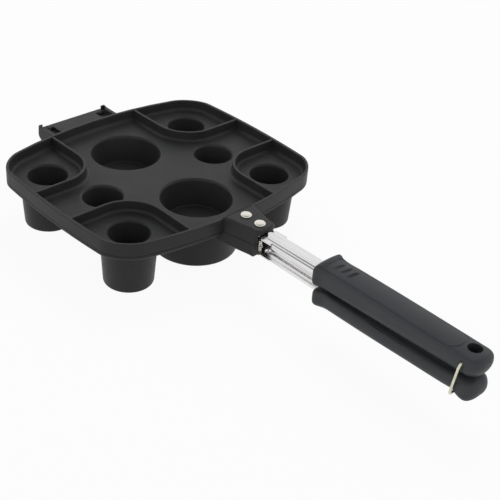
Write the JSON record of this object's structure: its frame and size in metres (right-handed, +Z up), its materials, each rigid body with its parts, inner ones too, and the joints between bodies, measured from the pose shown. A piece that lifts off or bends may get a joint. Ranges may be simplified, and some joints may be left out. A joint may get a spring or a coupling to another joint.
{
  "type": "stovetop cupcake maker pan",
  "caption": "Hinged two-part cast pan for baking filled cupcakes on a stove, with plugs that close the cups, curved dividers, riveted handles and a wire bail lock.",
  "frame": {"origin": "on the table plane, below the middle of the outer box", "axes": "+X from the hinge to the handles, +Z up; +Y to the left of someone who looks from the pan to the handles' ends"},
  "size_m": [0.4474, 0.2142, 0.0611],
  "materials": {
    "nonstick_cast": "black non-stick coating, satin",
    "polished_steel": "bright rolled steel strip",
    "grip_moulding": "satin heat-proof moulding",
    "rivet_aluminium": "pale plain aluminium",
    "bail_wire": "zinc-plated wire"
  },
  "bodies": {
    "lower": {"lower_pan": "nonstick_cast", "lower_shank": "polished_steel", "lower_grip": "grip_moulding", "lower_rivet_front": "rivet_aluminium", "lower_rivet_rear": "rivet_aluminium"},
    "upper": {"upper_pan": "nonstick_cast", "upper_shank": "polished_steel", "upper_grip": "grip_moulding", "upper_rivet_front": "rivet_aluminium", "upper_rivet_rear": "rivet_aluminium"},
    "bail": {"wire_bail": "bail_wire"}
  },
  "joints": [
    {"name": "pan_hinge", "type": "hinge", "parent": "lower", "child": "upper", "pos_m": [-0.21955, 0, 0.041], "axis": [0, -1, 0], "range_deg": [0, 180]},
    {"name": "bail_pivot", "type": "hinge", "parent": "upper", "child": "bail", "pos_m": [0.21135, 0, 0.0555], "axis": [0, -1, 0], "range_deg": [0, 180]}
  ]
}
